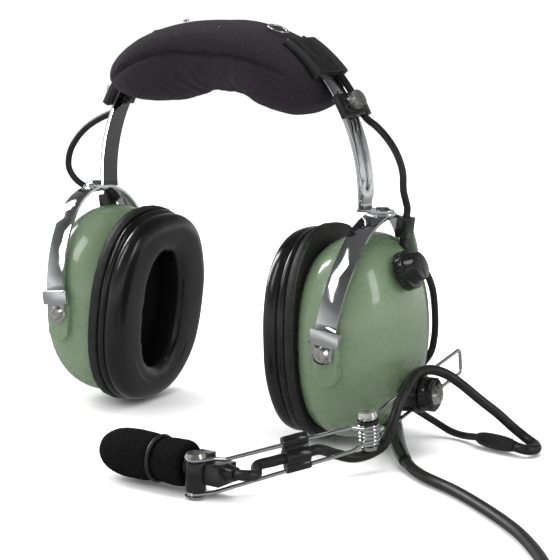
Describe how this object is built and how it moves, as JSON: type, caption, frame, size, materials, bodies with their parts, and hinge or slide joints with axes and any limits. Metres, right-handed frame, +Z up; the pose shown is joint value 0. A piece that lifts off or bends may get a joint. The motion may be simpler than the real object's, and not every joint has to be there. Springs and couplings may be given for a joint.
{
  "type": "aviation headset",
  "caption": "Passive aviation headset: padded sprung headband, slotted height arms, swivelling stirrups, domed ear cups with soft seals, volume knob and jointed wire microphone boom.",
  "frame": {"origin": "middle of the footprint of the headset without its cords, on the surface it stands on", "axes": "+Z up, +X from the left cup to the right cup, -Y to the front where the microphone is"},
  "size_m": [0.4695, 0.2623, 0.2106],
  "materials": {
    "chromed_steel": "polished",
    "nickel_hardware": "machined",
    "pad_fabric": "knitted",
    "dome_plastic": "glossy",
    "seal_vinyl": "glossy",
    "black_foam": "open cell",
    "gloss_black_plastic": "glossy",
    "black_plastic": "matte",
    "component_metal": "plain",
    "black_rubber": "satin",
    "cord_rubber": "satin"
  },
  "bodies": {
    "headband": {"headband_strip": "chromed_steel", "head_pad": "pad_fabric", "pad_snaps": "nickel_hardware", "sleeve_left": "black_rubber", "sleeve_right": "black_rubber", "crossover_top": "cord_rubber"},
    "arm_left": {"arm_left": "chromed_steel", "cord_clamp_left": "black_plastic", "foot_rivet_left": "nickel_hardware", "crossover_left": "cord_rubber"},
    "thumb_screw_left": {"thumb_screw_left": "nickel_hardware"},
    "yoke_left": {"stirrup_left": "chromed_steel", "cord_clip_left": "gloss_black_plastic"},
    "cup_left": {"dome_left": "dome_plastic", "seal_plate_left": "black_plastic", "ear_seal_left": "seal_vinyl", "ear_foam_left": "black_foam", "earphone_left": "component_metal", "pivot_screws_left": "nickel_hardware", "cup_cord_left": "cord_rubber"},
    "arm_right": {"arm_right": "chromed_steel", "cord_clamp_right": "black_plastic", "foot_rivet_right": "nickel_hardware", "crossover_right": "cord_rubber"},
    "thumb_screw_right": {"thumb_screw_right": "nickel_hardware"},
    "yoke_right": {"stirrup_right": "chromed_steel", "cord_clip_right": "gloss_black_plastic"},
    "cup_right": {"dome_right": "dome_plastic", "seal_plate_right": "black_plastic", "ear_seal_right": "seal_vinyl", "ear_foam_right": "black_foam", "earphone_right": "component_metal", "pivot_screws_right": "nickel_hardware", "cup_cord_right": "cord_rubber", "volume_pot": "component_metal", "boom_base": "gloss_black_plastic", "mic_cord_loop": "cord_rubber", "inline_plug": "black_plastic", "plug_lead": "cord_rubber", "cord_boot": "black_rubber", "main_cord": "cord_rubber", "main_coil": "cord_rubber", "phone_plug": "black_plastic"},
    "volume_knob": {"volume_knob": "gloss_black_plastic", "pot_shaft": "nickel_hardware"},
    "boom_clamp": {"boom_clamp": "gloss_black_plastic", "boom_bolt": "nickel_hardware"},
    "clamp_knob": {"clamp_knob": "gloss_black_plastic"},
    "boom_rear": {"rear_wire": "chromed_steel", "hinge_post": "nickel_hardware", "friction_washer": "black_rubber", "mic_cord_over": "cord_rubber"},
    "boom_front": {"front_wire": "chromed_steel", "wire_clip": "gloss_black_plastic", "mic_pin": "nickel_hardware", "mic_cord_rear": "cord_rubber"},
    "microphone": {"mic_housing": "black_plastic", "windscreen": "black_foam", "windscreen_ring": "black_rubber", "mic_cord_front": "cord_rubber"}
  },
  "joints": [
    {"name": "height_right", "type": "hinge", "parent": "headband", "child": "arm_right", "pos_m": [-0.006, 0.0395, 0.1226], "axis": [0, 1, 0], "range_deg": [-1, 17]},
    {"name": "thumb_screw_right", "type": "hinge", "parent": "arm_right", "child": "thumb_screw_right", "pos_m": [0.07114, 0.0395, 0.16895], "axis": [0.8572, 0, 0.515], "continuous": true},
    {"name": "swivel_right", "type": "hinge", "parent": "arm_right", "child": "yoke_right", "pos_m": [0.0875, 0.0395, 0.1154], "axis": [0, 0, 1], "range_deg": [-20, 20], "deforming": ["crossover_right"]},
    {"name": "tilt_right", "type": "hinge", "parent": "yoke_right", "child": "cup_right", "pos_m": [0.07934, 0.03871, 0.0523], "axis": [-0.0958, 0.9954, 0], "range_deg": [-12, 11], "deforming": ["cup_cord_right"]},
    {"name": "height_left", "type": "hinge", "parent": "headband", "child": "arm_left", "pos_m": [-0.006, 0.0395, 0.1226], "axis": [0, -1, 0], "range_deg": [0, 18]},
    {"name": "thumb_screw_left", "type": "hinge", "parent": "arm_left", "child": "thumb_screw_left", "pos_m": [-0.08212, 0.0395, 0.17062], "axis": [-0.8457, 0, 0.5336], "continuous": true},
    {"name": "swivel_left", "type": "hinge", "parent": "arm_left", "child": "yoke_left", "pos_m": [-0.09964, 0.0395, 0.11744], "axis": [0.0218, 0, 0.9998], "range_deg": [-20, 20], "deforming": ["crossover_left"]},
    {"name": "tilt_left", "type": "hinge", "parent": "yoke_left", "child": "cup_left", "pos_m": [-0.09285, 0.04029, 0.05418], "axis": [-0.0958, 0.9954, 0.0021], "range_deg": [-5, 12], "deforming": ["cup_cord_left"]},
    {"name": "volume", "type": "hinge", "parent": "cup_right", "child": "volume_knob", "pos_m": [0.10252, 0.03442, 0.08778], "axis": [0.9149, 0.0881, 0.3939], "range_deg": [-150, 150]},
    {"name": "boom_swing", "type": "hinge", "parent": "cup_right", "child": "boom_clamp", "pos_m": [0.10832, 0.0395, 0.0276], "axis": [-0.9952, -0.0958, -0.0209], "range_deg": [-15, 70], "deforming": ["mic_cord_loop", "plug_lead"]},
    {"name": "clamp_knob", "type": "hinge", "parent": "cup_right", "child": "clamp_knob", "pos_m": [0.11489, 0.04013, 0.02774], "axis": [0.9952, 0.0958, 0.0209], "continuous": true},
    {"name": "boom_slide", "type": "slide", "parent": "boom_clamp", "child": "boom_rear", "axis": [0.0977, -0.9877, -0.1218], "range_m": [-0.012, 0.035], "deforming": ["mic_cord_over"]},
    {"name": "boom_hinge", "type": "hinge", "parent": "boom_rear", "child": "boom_front", "pos_m": [0.1135, -0.01285, 0.02114], "axis": [-0.009, -0.1233, 0.9923], "range_deg": [-12, 50], "deforming": ["mic_cord_rear"]},
    {"name": "mic_pivot", "type": "hinge", "parent": "boom_front", "child": "microphone", "pos_m": [0.0695, -0.0865, 0.0098], "axis": [0, 0, 1], "range_deg": [-35, 60], "deforming": ["mic_cord_front"]}
  ]
}
